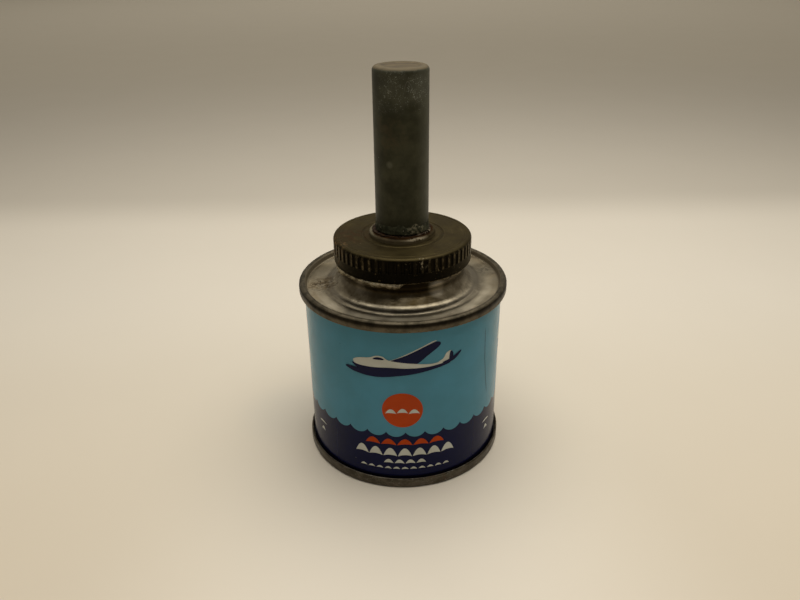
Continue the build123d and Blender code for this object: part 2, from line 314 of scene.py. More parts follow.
def panel_tone(p, cloud, away):
    """The top panel: clouded tin, painted shade in a ring round the neck's foot, on the step at its sides and
    on the right, and tan towards the seam.
    """
    colour = p.mix(cloud, (0.245, 0.214, 0.152), (0.375, 0.333, 0.250))
    # painted shade: a dark ring round the neck's foot
    foot_ring_shade = p.band(p.radius, NECK_FOOT_R, NECK_FOOT_R + 0.8, PANEL_STEP_R - 1.0, PANEL_STEP_R - 0.2)
    colour = p.mix(p.times(foot_ring_shade, 0.72), colour, (0.125, 0.110, 0.082))
    # painted shade on the step, at the sides only
    step = p.band(p.radius, PANEL_STEP_R - 1.1, PANEL_STEP_R - 0.6, PANEL_STEP_R + 0.4, PANEL_STEP_R + 1.0)
    colour = p.mix(p.times(step, p.band(away, 10, 26, 50, 85), 0.8), colour, (0.105, 0.090, 0.064))
    on_panel = p.step(p.radius, PANEL_STEP_R + 1.2, PANEL_STEP_R - 0.3)
    smear = p.times(on_panel, p.patches(3.0, 0.42, 0.60, 5, 0.68))
    colour = p.mix(p.times(smear, 0.6), colour, (0.145, 0.125, 0.090))
    # painted shade on the right of the panel
    shade = p.near(at(98, 21.2, PANEL_Z), 13.0)
    colour = p.mix(p.times(shade, 0.28), colour, (0.20, 0.18, 0.14))
    tan = p.times(p.step(p.radius, PANEL_STEP_R - 0.3, PANEL_STEP_R + 4.7), p.patches(9, 0.40, 0.60))
    return p.mix(p.times(tan, 0.6), colour, (0.34, 0.275, 0.175))


def neck_tone(p, colour, away):
    """Brown grime and painted shade on the neck, darkest at the front, a painted shadow just under the cap
    that is darkest at the front, and two painted highlights.
    """
    aside = p.step(away, 12, 42)
    grime_and_shade_r = p.plus(p.radius, p.blend(p.step(away, 40, 75), 0.0, 1.3))
    neck = p.times(p.step(grime_and_shade_r, NECK_FOOT_R + 0.1, NECK_FOOT_R - 1.0),
                   p.step(p.height, PANEL_Z + 0.3, PANEL_Z + 1.3))
    # two painted highlights on the neck, at the right and at the left
    painted_highlights = p.most(p.near(at(31.4, NECK_R - 0.2, CAP_LOW - 3.0), 3.4),
                   p.times(p.near(at(-42, NECK_R - 0.1, CAP_LOW - 3.5), 2.6), 0.5))
    # grime and painted shade on the neck, darkest at the front
    grime_and_shade = p.times(neck, p.without(p.times(painted_highlights, 0.9)))
    uneven = p.blend(p.patches(5, 0.3, 0.7, 5, 0.6), 0.65, 1.0)
    colour = p.mix(p.times(grime_and_shade, uneven, p.blend(aside, 1.0, 0.72)), colour, (0.052, 0.036, 0.014))
    # painted shadow just under the cap, darkest at the front
    under_cap_shadow = p.times(grime_and_shade, p.step(p.height, CAP_LOW - 4.2, CAP_LOW - 2.4), p.blend(aside, 0.85, 0.25))
    colour = p.mix(under_cap_shadow, colour, (0.024, 0.016, 0.006))
    return p.mix(p.times(painted_highlights, neck, 0.7), colour, (0.52, 0.47, 0.38))


def seam_tone(p, colour, seam):
    """The double seam: dark and clouded, with painted shade just under its crest and painted light on its
    inner wall and at its hem.
    """
    clouded = p.mix(p.patches(3.2, 0.35, 0.65, 5, 0.65), (0.030, 0.025, 0.015), (0.090, 0.075, 0.050))
    colour = p.mix(seam, colour, clouded)
    # painted light on the seam's inner wall
    inside = p.band(p.radius, BODY_R - 1.3, BODY_R - 0.9, BODY_R - 0.3, BODY_R - 0.1)
    colour = p.mix(p.times(inside, 0.75), colour, (0.19, 0.160, 0.110))
    outside = p.step(p.radius, BODY_R - 0.2, BODY_R + 0.1)
    below = p.math("SUBTRACT", SEAM_CREST, p.height)
    # painted shade just under the crest
    waist = p.times(p.band(below, 0.3, 0.55, 1.1, 1.7), outside, seam)
    colour = p.mix(p.times(waist, 0.95), colour, (0.25, 0.225, 0.18), "MULTIPLY")
    # painted light at the hem
    hem = p.times(p.step(below, 1.2, 2.2), outside, p.blend(p.patches(2.4, 0.35, 0.65, 5, 0.65), 0.25, 0.6))
    return p.mix(hem, colour, (0.165, 0.138, 0.094))


def tinplate_top():
    """The top: bright tin gone dull, darker on the neck and seam from grime and painted shade, with brown
    stains, black specks and a pale band of dust and painted highlight near the seam.
    """
    p = Paint("tinplate_top")
    cloud = p.patches(7, 0.3, 0.7, 6, 0.6)
    away = p.math("ABSOLUTE", p.angle)
    seam = p.step(p.radius, BODY_R - 1.1, BODY_R - 0.5)
    colour = panel_tone(p, cloud, away)
    left = p.near(at(-84, 23.9, PANEL_Z), 7.5)
    right = p.near(at(103.6, 26.8, PANEL_Z), 5.5)
    squiggle = p.most(p.lines(3.2, 0.05, 3, p.stretched(1.7, 1, 1), 1.2),
                      p.lines(4.5, 0.035, 2, p.stretched(1.5, 1, 1), 1.5))
    stain = p.times(left, p.patches(3.0, 0.42, 0.56, 5, 0.65))
    colour = p.mix(p.times(stain, 0.8), colour, (0.100, 0.070, 0.030))
    colour = p.mix(p.times(left, squiggle, 0.9), colour, (0.026, 0.015, 0.006))
    colour = p.mix(p.times(right, squiggle, 0.75), colour, (0.085, 0.075, 0.055))
    colour = seam_tone(p, neck_tone(p, colour, away), seam)
    pits = p.specks(5.0, 0.42, 0.30)
    colour = p.mix(pits, colour, (0.01, 0.008, 0.006))
    # pale dust and a painted highlight on the outer panel, fading away from the front
    rim = p.band(p.radius, PANEL_STEP_R + 0.7, PANEL_STEP_R + 1.9, PANEL_STEP_R + 2.9, PANEL_STEP_R + 3.9)
    dust_and_highlight = p.times(rim, p.blend(cloud, 0.5, 1.0), p.step(away, 115, 50), p.without(left))
    colour = p.mix(p.times(dust_and_highlight, 0.65), colour, (0.42, 0.375, 0.285))
    worn = p.most(p.times(left, squiggle), p.times(stain, 0.6), pits)
    rough = p.plus(p.blend(cloud, 0.28, 0.42), p.times(seam, 0.12), p.times(worn, 0.4))
    dents = p.bump(p.noise(13, 2), 0.35)
    spun = p.bump(p.noise(1.0, 2, 0.5, p.ring_place(0.4)), 0.010, dents)
    orange_peel = p.bump(p.noise(1.7, 3, 0.6), 0.05, spun)
    rolled = p.bump(p.noise(0.6, 3, 0.6), 0.035, orange_peel)
    crust = p.bump(worn, 0.05, rolled)
    bare = p.math("SUBTRACT", p.blend(seam, 1.0, 0.7), p.times(dust_and_highlight, 0.35))
    metallic = p.math("SUBTRACT", bare, p.times(worn, 0.6))
    return p.finish(colour, rough, metallic, crust, Specular_IOR_Level=0.15)


def dull_tin(name, dark, light, size=3.0, rust=0.25):
    """Plain tinned steel without shine, clouded, with a little rust and fine scratches."""
    p = Paint(name)
    cloud = p.patches(size, 0.32, 0.68, 6, 0.62)
    colour = p.mix(cloud, dark, light)
    rusty = p.patches(size * 1.7, 0.56, 0.66, 7, 0.7)
    colour = p.mix(p.times(rusty, rust), colour, (0.12, 0.05, 0.018))
    scratch = p.lines(size * 2, 0.006, 4, p.stretched(1, 1, 0.3))
    colour = p.mix(p.times(scratch, 0.5), colour, (0.42, 0.40, 0.35))
    rough = p.plus(p.blend(cloud, 0.34, 0.5), p.times(rusty, 0.2))
    normal = p.bump(p.noise(0.6, 4, 0.6), 0.015, p.bump(p.noise(6, 2), 0.12))
    return p.finish(colour, rough, p.without(p.times(rusty, rust)), normal)


def cap_skirt_tone(p, colour, cloud, side):
    """The cap's side: near black, its crests rubbed tan and given a painted highlight, except at the very
    front.
    """
    colour = p.mix(side, colour, p.mix(cloud, (0.003, 0.0024, 0.001), (0.009, 0.0068, 0.003)))
    turns = p.math("FRACT", p.math("DIVIDE", p.plus(p.angle, 360), 360 / FLUTES))
    crest = p.step(p.math("ABSOLUTE", p.math("SUBTRACT", turns, 0.5)), 0.22, 0.08)
    ridge = p.times(crest, side, p.step(p.height, CAP_TOP - 4.5, CAP_TOP - 4.0))
    # the crests' wear and painted highlight are left off at the very front
    aside = p.step(p.math("ABSOLUTE", p.plus(p.angle, 3.0)), 9.0, 26.0)
    rubbed_and_lit = p.times(ridge, aside, p.blend(p.patches(1.5, 0.42, 0.60, 6, 0.75), 0.10, 1.0))
    return p.mix(p.times(rubbed_and_lit, 0.9), colour, (0.110, 0.086, 0.047))


def cap_face_tone(p, colour, face, rings):
    """The cap's top: turned rings, a dark groove, dark mottling, a painted lighter front, and painted shade
    and rust on the left.
    """
    groove = p.step(p.math("ABSOLUTE", p.math("SUBTRACT", p.radius, CAP_GROOVE_R)), 0.55, 0.15)
    colour = p.mix(p.times(groove, p.patches(7, 0.38, 0.55, 2), 0.6), colour, (0.012, 0.009, 0.004))
    colour = p.mix(p.times(p.step(rings, 0.55, 0.75), face, 0.3), colour, (0.12, 0.095, 0.05))
    mottle = p.times(p.patches(2.4, 0.46, 0.62, 6, 0.7), face)
    colour = p.mix(p.times(mottle, 0.45), colour, (0.018, 0.011, 0.004))
    # painted light at the front of the top
    lit_front = p.times(p.near(at(4, 15, CAP_TOP), 11.0), face)
    colour = p.mix(p.times(lit_front, 0.30), colour, (0.095, 0.074, 0.030))
    # painted shade on the left of the top
    dull_and_shaded = p.times(p.near(at(-77, 13.3, CAP_TOP), 11.0), face)
    colour = p.mix(p.times(dull_and_shaded, 0.4), colour, (0.021, 0.0155, 0.006))
    rusty = p.times(p.near(at(-84, 15, CAP_TOP), 10.0), p.patches(1.7, 0.44, 0.60, 5, 0.65))
    return p.mix(p.times(rusty, 0.8), colour, (0.030, 0.013, 0.004))


def cap_metal():
    """Browned steel: olive brown and finely turned on top, near black on the skirt with tan chips."""
    p = Paint("cap_steel")
    cloud = p.patches(6, 0.3, 0.7, 6, 0.6)
    rings = p.noise(1.0, 2, 0.5, p.ring_place(0.35))
    side = p.times(p.step(p.radius, CAP_R - 0.75, CAP_R - 0.25),
                   p.step(p.height, CAP_TOP - 0.1, CAP_TOP - 0.7))
    colour = p.mix(cloud, (0.022, 0.0165, 0.0055), (0.043, 0.033, 0.013))
    colour = cap_skirt_tone(p, colour, cloud, side)
    colour = cap_face_tone(p, colour, p.without(side), rings)
    left = p.near(at(-70.6, CAP_R - 0.5, CAP_TOP - 2), 7.0)
    crusty = p.times(left, p.patches(2.0, 0.50, 0.62, 6, 0.7))
    colour = p.mix(p.times(crusty, 0.7), colour, (0.17, 0.105, 0.045))
    chips = p.times(p.patches(0.9, 0.61, 0.67, 5, 0.65), p.patches(7, 0.45, 0.6, 2), side)
    colour = p.mix(p.times(chips, 0.7), colour, (0.20, 0.15, 0.075))
    scrape = p.patches(0.55, 0.54, 0.60, 5, 0.7, p.stretched(1, 1, 2.2))
    # pale knocks with painted glints at the front right of the skirt's top
    knocks_and_glints = p.times(p.near(at(15.3, CAP_R, CAP_TOP - 1.3), 2.4), scrape)
    colour = p.mix(p.times(knocks_and_glints, 0.7), colour, (0.30, 0.265, 0.19))
    flecks = p.specks(2.4, 0.14, 0.4)
    colour = p.mix(p.times(flecks, 0.8), colour, (0.34, 0.30, 0.21))
    crust = p.most(crusty, chips, flecks)
    rough = p.plus(p.blend(cloud, 0.42, 0.56), p.times(crust, 0.2))
    normal = p.bump(crust, 0.04, p.bump(rings, 0.012, p.bump(p.noise(0.5, 3), 0.02)))
    return p.finish(colour, rough, p.math("SUBTRACT", 0.75, p.times(crust, 0.6)), normal,
                    Specular_IOR_Level=0.1, Specular_Tint=(1.0, 0.93, 0.78, 1.0))


def handle_metal():
    """The handle: a dark grey-green skin of oxide, with a painted sheen down its right, pale blooms near its
    top and a tan worn end.
    """
    p = Paint("handle_metal")
    cloud = p.patches(5, 0.3, 0.7, 6, 0.62)
    colour = p.mix(cloud, (0.0185, 0.0190, 0.0065), (0.045, 0.045, 0.0225))
    # painted sheen: a lighter band down the right side
    sheen = p.times(p.band(p.angle, 28, 50, 95, 120), p.blend(p.noise(4, 3), 0.3, 0.7))
    colour = p.mix(p.times(sheen, 0.5), colour, (0.085, 0.087, 0.060))
    upper = p.times(p.step(p.height, TUBE_TOP - 13, TUBE_TOP - 8), p.patches(6, 0.42, 0.60, 3))
    left = p.near(at(-23, TUBE_R, TUBE_TOP - 4.6), 5.0)
    right = p.near(at(35, TUBE_R, TUBE_TOP - 4.8), 5.5)
    bloom = p.most(p.times(left, 0.7), right, p.times(upper, 0.5))
    colour = p.mix(p.times(bloom, 0.16), colour, (0.14, 0.14, 0.11))
    brown = p.times(p.near(at(-30, TUBE_R, TUBE_TOP - 17.0), 7.5), p.patches(2.5, 0.40, 0.60, 4))
    colour = p.mix(p.times(brown, 0.30), colour, (0.060, 0.034, 0.012))
    salt = p.times(p.patches(0.28, 0.57, 0.63, 3, 0.7), p.patches(1.3, 0.46, 0.56, 4, 0.65), bloom)
    colour = p.mix(salt, colour, (0.36, 0.37, 0.31))
    flecks = p.specks(3.2, 0.16, 0.22)
    colour = p.mix(p.times(flecks, 0.7), colour, (0.30, 0.30, 0.25))
    spot = p.near(at(-25.5, TUBE_R, TUBE_TOP - 24.8), 1.35)
    colour = p.mix(p.times(spot, 0.45), colour, (0.14, 0.14, 0.10))
    streak = p.times(p.lines(9, 0.004, 2, p.stretched(1, 1, 4)), p.patches(9, 0.56, 0.62, 2))
    colour = p.mix(p.times(streak, 0.4), colour, (0.20, 0.19, 0.15))
    uneven = p.plus(p.height, p.blend(p.noise(1.5, 4), -0.25, 0.25))
    end = p.step(uneven, TUBE_TOP - 0.75, TUBE_TOP - 0.3)
    streaks = p.patches(1.6, 0.35, 0.65, 5, 0.65, p.stretched(3, 0.8, 1))
    tan = p.mix(streaks, (0.036, 0.022, 0.005), (0.100, 0.069, 0.024))
    rim = p.step(p.radius, TUBE_R - 2.4, TUBE_R - 1.4)
    colour = p.mix(p.times(end, 0.9), colour, p.mix(p.times(rim, 0.6), tan, (0.11, 0.083, 0.038)))
    crusted = p.most(bloom, end)
    normal = p.bump(p.plus(bloom, flecks), 0.02, p.bump(p.noise(0.7, 5, 0.65), 0.03))
    return p.finish(colour, p.blend(crusted, 0.48, 0.72), p.blend(crusted, 0.55, 0.15), normal,
                    Specular_IOR_Level=0.5)


def washer_metal():
    """The washers: dull tin, palest at the left from painted light, with a painted highlight on the rim at
    the front left, and rust and dirt close to the handle.
    """
    p = Paint("washer_steel")
    cloud = p.patches(2.5, 0.3, 0.7, 6, 0.65)
    colour = p.mix(cloud, (0.016, 0.011, 0.0035), (0.040, 0.029, 0.011))
    # painted light on the washer's left side
    pale = p.near(at(-93, CUP_R, CUP_TOP), 9.5)
    colour = p.mix(p.times(pale, 0.8), colour, (0.17, 0.150, 0.100))
    crumbs = p.times(p.near(at(25, CUP_R + 0.3, CUP_TOP), 5.0), p.patches(0.9, 0.40, 0.52, 4, 0.65))
    colour = p.mix(p.times(crumbs, 0.85), colour, (0.24, 0.205, 0.140))
    skirt = p.step(p.height, CUP_TOP - 0.7, CUP_TOP - 1.0)
    colour = p.mix(p.times(skirt, 0.9), colour, (0.085, 0.066, 0.032))
    ragged = p.blend(p.noise(1.8, 5, 0.7), -0.8, 0.8)
    caked = p.times(p.near(at(-29.4, CUP_R - 0.5, CUP_TOP), 8.0), -0.7)
    rust = p.step(p.plus(p.radius, ragged, caked), TUBE_R + 1.5, TUBE_R + 0.95)
    colour = p.mix(rust, colour, p.mix(cloud, (0.006, 0.0025, 0.0005), (0.028, 0.0115, 0.0022)))
    # painted highlight along the rim at the front left
    edge = p.times(p.step(p.radius, CUP_R - 0.9, CUP_R - 0.5), p.near(at(-24.4, CUP_R, CUP_TOP), 8.5))
    colour = p.mix(p.times(edge, p.blend(cloud, 0.4, 0.9), 0.6), colour, (0.120, 0.099, 0.058))
    rough = p.blend(rust, 0.66, 0.9)
    normal = p.bump(p.noise(0.5, 5, 0.7), 0.03)
    return p.finish(colour, rough, p.blend(rust, 0.4, 0.0), normal, Specular_IOR_Level=0.05)


def dried_sealer(name, dark, light, gloss, pale_at):
    """Old sealer that has run and set: lumpy, paler round one point, shiny on its high spots."""
    p = Paint(name)
    cloud = p.patches(1.3, 0.34, 0.66, 6, 0.68)
    colour = p.mix(cloud, dark, light)
    pale = p.times(p.near(pale_at, 5.0), p.patches(0.8, 0.47, 0.57, 4, 0.65))
    colour = p.mix(p.times(pale, 0.7), colour, (0.21, 0.185, 0.12))
    flecks = p.specks(1.1, 0.13, 0.4)
    colour = p.mix(p.times(flecks, 0.7), colour, (0.42, 0.38, 0.28))
    rough = p.blend(cloud, gloss + 0.3, gloss)
    normal = p.bump(p.noise(0.45, 5, 0.7), 0.06)
    return p.finish(colour, rough, 0.0, normal, Specular_IOR_Level=0.18)


def soft_solid(name, dark, light, size, rough=0.8, depth=0.03, stretch=(1, 1, 1)):
    """Board, rubber, wood or hair: two tones in a noise of that size, drawn out along the stretch."""
    p = Paint(name)
    place = p.stretched(*stretch)
    cloud = p.patches(size, 0.3, 0.7, 6, 0.65, place)
    colour = p.mix(cloud, dark, light)
    blot = p.patches(size * 4, 0.55, 0.7, 3)
    colour = p.mix(p.times(blot, 0.35), colour, dark)
    normal = p.bump(p.noise(size * 0.4, 4, 0.6, place), depth)
    return p.finish(colour, p.blend(cloud, rough, rough - 0.12), 0.0, normal)


def dress(node, paint):
    """Gives a CAD node its finished material."""
    for material_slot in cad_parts[node].material_slots:
        material_slot.material = paint


def dress_all():
    dull_and_shaded = dull_tin("tinplate_bottom", (0.055, 0.047, 0.034), (0.12, 0.105, 0.080))
    compound = soft_solid("seam_compound", (0.03, 0.027, 0.02), (0.06, 0.055, 0.045), 0.6)
    washer = washer_metal()
    dress("body_wall", wall_print())
    dress("side_seam_solder", dull_tin("seam_solder", (0.22, 0.21, 0.19), (0.42, 0.41, 0.38), 2.0, 0.05))
    dress("top_end", tinplate_top())
    dress("bottom_end", dull_and_shaded)
    dress("top_seam_compound", compound)
    dress("bottom_seam_compound", compound)
    dress("cap_shell", cap_metal())
    dress("liner_board", soft_solid("liner_board", (0.22, 0.15, 0.08), (0.40, 0.31, 0.19), 0.9))
    dress("liner_facing", dull_tin("liner_foil", (0.45, 0.44, 0.41), (0.62, 0.61, 0.58), 4.0, 0.0))
    dress("cup_washer", washer)
    dress("lock_washer", washer)
    dress("handle_tube", handle_metal())
    dress("brush_ferrule", dull_tin("ferrule_tin", (0.28, 0.26, 0.22), (0.48, 0.45, 0.40), 4.0, 0.1))
    dress("bristle_set", soft_solid("bristle_rubber", (0.02, 0.018, 0.016), (0.05, 0.045, 0.04), 0.8))
    dress("ferrule_plug", soft_solid("plug_wood", (0.22, 0.13, 0.06), (0.42, 0.29, 0.15), 0.7,
                                     stretch=(1, 1, 9)))


# ---- printed artwork ------------------------------------------------------------------------------
def rounded(points, steps=6):
    """A smooth closed loop through the points."""
    loop, count = [], len(points)
    for i in range(count):
        a, b, c, d = (Vector(points[(i + k) % count]) for k in (-1, 0, 1, 2))
        for k in range(steps):
            t = k / steps
            curve = 2 * b + (c - a) * t + (2 * a - 5 * b + 4 * c - d) * t ** 2
            curve += (3 * b - a - 3 * c + d) * t ** 3
            loop.append(curve / 2)
    return loop


def disc(across, height, radius, count=72):
    """A round loop."""
    turns = [2 * math.pi * i / count for i in range(count)]
    return [(across + radius * math.cos(turn), height + radius * math.sin(turn)) for turn in turns]


def wavelet(across, height, width, thick, count=10):
    """A small crescent wave with pointed ends."""
    sides = [(-0.5 + i / count) for i in range(count + 1)]
    upper = [(across + u * width, height + thick * (1.0 - 4 * u * u)) for u in sides]
    lower = [(across + u * width, height + thick * 0.15 * (1.0 - 4 * u * u)) for u in reversed(sides[1:-1])]
    return lower[::-1] + upper[::-1]


def printed(name, loops, paint, layer=1):
    """Flat artwork, closed loops of (distance round the wall, height), laid on the wall as ink."""
    bm = bmesh.new()
    for loop in loops:
        face = bm.faces.new([bm.verts.new((u, 0, z)) for u, z in loop])
        face.normal_update()
        if face.normal.y > 0:
            face.normal_flip()
    bmesh.ops.triangulate(bm, faces=bm.faces[:])
    across = [v.co.x for v in bm.verts]
    cut = math.floor(min(across))
    while cut < max(across):
        bmesh.ops.bisect_plane(bm, geom=bm.verts[:] + bm.edges[:] + bm.faces[:], plane_co=(cut, 0, 0),
                               plane_no=(1, 0, 0), dist=1e-5)
        cut += 0.8
    radius = BODY_R + PRINT_LIFT * layer
    for v in bm.verts:
        turn = v.co.x / BODY_R
        v.co = Vector((radius * math.sin(turn), -radius * math.cos(turn), v.co.z)) * MM
    mesh = bpy.data.meshes.new(name)
    bm.to_mesh(mesh)
    bm.free()
    mesh.shade_smooth()
    outward = [Vector((v.co.x, v.co.y, 0)).normalized() for v in mesh.vertices]
    mesh.normals_split_custom_set_from_vertices(outward)
    mesh.materials.append(paint)
    return placed(mesh, "can")


def placed(mesh, body):
    """The mesh as a piece of the scene that rides on that body."""
    piece = bpy.data.objects.new(mesh.name, mesh)
    bpy.context.scene.collection.objects.link(piece)
    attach(piece, body)
    return piece


def print_aeroplane(navy, cream):
    """A plain toy aeroplane, drawn from the back to the front."""
    far_edge = [(-4.6, 43.1), (-2.2, 44.1), (0.5, 45.4), (7.2, 48.6), (9.0, 48.9), (7.0, 48.1), (0.5, 45.0),
                (-2.0, 43.7)]
    far_wing = [(-4.2, 42.9), (0.5, 45.1), (7.2, 48.2), (9.6, 48.5), (9.9, 47.3), (6.4, 44.6), (3.4, 42.3),
                (-0.6, 41.8)]
    fuselage = [(-14.6, 42.0), (-13.0, 43.1), (-9.6, 43.8), (-7.8, 44.6), (-5.8, 44.5), (-4.0, 43.4),
                (2.0, 42.5), (8.0, 41.9), (13.2, 42.6), (14.2, 42.1), (12.8, 41.2), (7.0, 40.2),
                (-1.0, 39.4), (-8.0, 39.3), (-12.8, 40.3)]
    fin = [(9.6, 42.0), (11.0, 43.0), (11.9, 44.5), (13.2, 45.0), (13.8, 44.1), (13.6, 42.6), (13.2, 41.8)]
    belly = [(-14.9, 41.3), (-12.6, 40.9), (-8.6, 40.9), (-4.0, 41.2), (1.0, 41.0), (7.0, 41.1), (12.4, 41.7),
             (12.6, 41.0), (7.0, 39.9), (1.0, 38.9), (-5.0, 38.4), (-10.0, 38.7), (-13.4, 39.9)]
    window = [(-8.6, 43.5), (-7.6, 44.2), (-6.1, 44.1), (-5.6, 43.5)]
    rudder = [(12.7, 41.8), (13.0, 44.6), (13.6, 44.7), (14.0, 43.9), (13.9, 42.4), (13.6, 41.7)]
    tailplane = [(10.8, 41.8), (13.4, 42.6), (16.2, 44.1), (16.5, 43.7), (14.6, 41.9), (12.0, 41.2)]
    near_wing = [(-3.0, 40.6), (-8.0, 40.0), (-13.0, 39.9), (-16.4, 39.9), (-16.9, 39.3), (-13.6, 38.3),
                 (-7.6, 37.9), (-1.0, 38.8), (1.6, 40.0)]
    shade = [rounded(belly), rounded(window, 4), rounded(rudder), rounded(tailplane)]
    printed("aeroplane_edge", [rounded(far_edge)], cream, 1)
    printed("aeroplane_wings", [rounded(far_wing)], navy, 2)
    printed("aeroplane_hull", [rounded(fuselage), rounded(fin)], cream, 3)
    printed("aeroplane_shade", shade, navy, 4)
    printed("aeroplane_near_wing", [rounded(near_wing)], navy, 5)


def print_artwork():
    """The aeroplane over an orange sun, and rows of small waves on the sea. No lettering."""
    navy = print_ink("ink_navy", NAVY)
    cream = print_ink("ink_cream", CREAM)
    orange = print_ink("ink_orange", ORANGE)
    print_aeroplane(navy, cream)
    sun_across, sun_height = -0.6, 27.1
    low_sun = [wavelet(sun_across + 3.3 * i, sun_height - 0.9 - 0.25 * abs(i), 3.1, 1.5) for i in (-1, 0, 1)]
    printed("sun", [disc(sun_across, sun_height, 5.8)], orange, 1)
    printed("sun_waves", low_sun, cream, 2)
    printed("waves_orange", [wavelet(4.7 * i, 14.9, 4.5, 2.2) for i in (-2, -1, 0, 1, 2)], orange, 1)
    waves = [wavelet(4.3 * i, 10.9, 4.1, 2.9) for i in (-3, -2, -1, 0, 1, 2, 3)]
    waves += [wavelet(3.2 * (i + 0.5), 8.3, 2.9, 1.4) for i in (-2, -1, 0, 1)]
    waves += [wavelet(2.5 * i, 6.2, 2.1, 0.8) for i in range(-5, 6)]
    for across in (-29.5, 29.5):
        waves += [wavelet(across, 13.6, 4.4, 0.7), wavelet(across, 10.8, 2.2, 1.3)]
    printed("waves_cream", waves, cream, 1)


# ---- marks of use ---------------------------------------------------------------------------------
def strip(points, width, taper=0.35):
    """A thin wandering mark with narrow ends, as one closed loop."""
    left, right = [], []
    for i, (u, z) in enumerate(points):
        half = width / 2 * (taper if i in (0, len(points) - 1) else 1.0)
        left.append((u - half, z))
        right.append((u + half, z))
    return left + right[::-1]


def wall_scratch():
    """One long thin scratch down the right of the wall."""
    rng = random.Random(5)
    start, end = Vector((51.7, 47.1)), Vector((57.0, 23.9))
    points = []
    for i in range(15):
        t = i / 14
        turn = start.x + (end.x - start.x) * t ** 2.2 + rng.uniform(-0.12, 0.12)
        points.append((math.radians(turn) * BODY_R, start.y + (end.y - start.y) * t))
    printed("wall_scratch", [strip(points, 0.16)], print_ink("ink_scratch", (0.02, 0.03, 0.035)), 1)


def swept_ring(name, section, count, paint, body):
    """A closed ring: section(angle in degrees) gives its (radius, height) loop at each angle."""
    rings = [section(360 * i / count) for i in range(count)]
    size = len(rings[0])
    corners, faces = [], []
    for i, loop in enumerate(rings):
        corners += [Vector(at(360 * i / count, r, z)) * MM for r, z in loop]
        after = (i + 1) % count
        for k in range(size):
            follow = (k + 1) % size
            faces.append((i * size + k, i * size + follow, after * size + follow, after * size + k))
    mesh = bpy.data.meshes.new(name)
    mesh.from_pydata(corners, [], faces)
    mesh.shade_smooth()
    mesh.materials.append(paint)
    return placed(mesh, body)


def lump(angle, radius, height, size, seed):
    """A smooth noise of about -1 to 1 on the surface at that angle, radius and height."""
    place = Vector(at(angle, radius, height)) / size
    return noise.noise(place + Vector((seed * 7.3, seed * 3.1, seed * 5.7)))


def ease(value, start, end):
    """0 before start, 1 after end, smooth between; it falls instead where end is below start."""
    t = min(1.0, max(0.0, (value - start) / (end - start)))
    return t * t * (3 - 2 * t)


def sealer_under_cap():
    """Sealer that has run out from under the cap's edge at the front left and stops near the front."""
    def section(angle):
        side = (angle + 180) % 360 - 180
        heavy = ease(side, -88, -60) * ease(side, 3, -5) + 0.35 * ease(side, 18, 40) * ease(side, 75, 50)
        rise = lump(angle, NECK_R, CAP_LOW, 3.0, 1) + 0.6 * lump(angle, NECK_R, CAP_LOW, 1.1, 2)
        heavy *= 0.72 + 0.28 * rise
        wide = 0.36 + 0.90 * heavy + 0.16 * rise
        tall = 0.32 + 0.42 * heavy + 0.14 * rise
        middle_r = NECK_R + 0.35 + 0.90 * heavy
        middle_z = CAP_LOW - 0.22 - 0.62 * heavy
        loop = []
        for k in range(14):
            t = 2 * math.pi * k / 14
            r, z = middle_r + wide * math.cos(t), middle_z + tall * math.sin(t)
            swell = 1 + 0.22 * lump(angle, r, z, 0.9, 3)
            loop.append((middle_r + (r - middle_r) * swell, middle_z + (z - middle_z) * swell))
        return loop
    paint = dried_sealer("sealer_tan", (0.050, 0.036, 0.014), (0.30, 0.245, 0.15), 0.22,
                         at(-28, CAP_R - 0.9, CAP_LOW))
    swept_ring("sealer_under_cap", section, 300, paint, "can")


def sealer_on_handle():
    """A ragged sleeve of set sealer round the handle's foot."""
    foot = CUP_TOP + 0.5
    rows = 16

    def section(angle):
        top = foot + 2.2 + 1.1 * lump(angle, TUBE_R, foot, 2.6, 4) + 0.8 * lump(angle, TUBE_R, foot, 1.0, 5)
        loop = []
        for k in range(rows):
            z = foot + (top - foot) * k / (rows - 1)
            fade = math.sqrt(max(0.0, 1 - (k / (rows - 1)) ** 3))
            thick = 0.12 + 0.14 * lump(angle, TUBE_R, z, 1.6, 6) + 0.10 * lump(angle, TUBE_R, z, 0.6, 7)
            loop.append((TUBE_R - 0.05 + (thick + 0.1) * fade, z))
        return loop + [(TUBE_R - 0.3, top), (TUBE_R - 0.3, foot + 0.2)]
    paint = dried_sealer("sealer_grey", (0.014, 0.0155, 0.007), (0.050, 0.052, 0.028), 0.5,
                         at(30.5, TUBE_R + 0.3, foot + 0.6))
    swept_ring("sealer_on_handle", section, 220, paint, "brush_cap")


def crevice_dirt():
    """Rust and crumbs of old sealer in the crevice between the washer and the handle's foot."""
    def section(angle):
        side = (angle + 180) % 360 - 180
        crumbs = ease(side, 20, 55) * ease(side, 125, 95)
        caked = ease(side, -135, -100) * ease(side, -10, -40)
        outer_r = TUBE_R + 0.40 + 0.55 * caked + 0.25 * crumbs
        outer_r += 0.30 * lump(angle, CUP_R, 0, 2.2, 8) + 0.25 * lump(angle, CUP_R, 0, 0.7, 9)
        loop = []
        for k in range(9):
            t = k / 8
            r = TUBE_R - 0.7 + (outer_r - TUBE_R + 0.7) * t
            rough = lump(angle, r, 0, 0.7, 10) + 0.8 * lump(angle, r, 0, 0.3, 11)
            z = CUP_TOP + 0.24 - 0.16 * t + (0.12 + 0.24 * crumbs) * max(-0.6, rough) + 0.12 * crumbs
            loop.append((r, z))
        return loop + [(outer_r, CUP_TOP - 0.1), (TUBE_R - 0.7, CUP_TOP - 0.1)]
    paint = dried_sealer("crevice_dirt", (0.006, 0.0025, 0.0005), (0.032, 0.0130, 0.0024), 0.6,
                         at(59, CUP_R - 0.9, CUP_TOP))
    swept_ring("crevice_dirt", section, 240, paint, "brush_cap")


# ---- brush ----------------------------------------------------------------------------------------
HAIR_SEED = 11
STRANDS = 700
STRAND_R = 0.13
STRAND_RINGS = 9


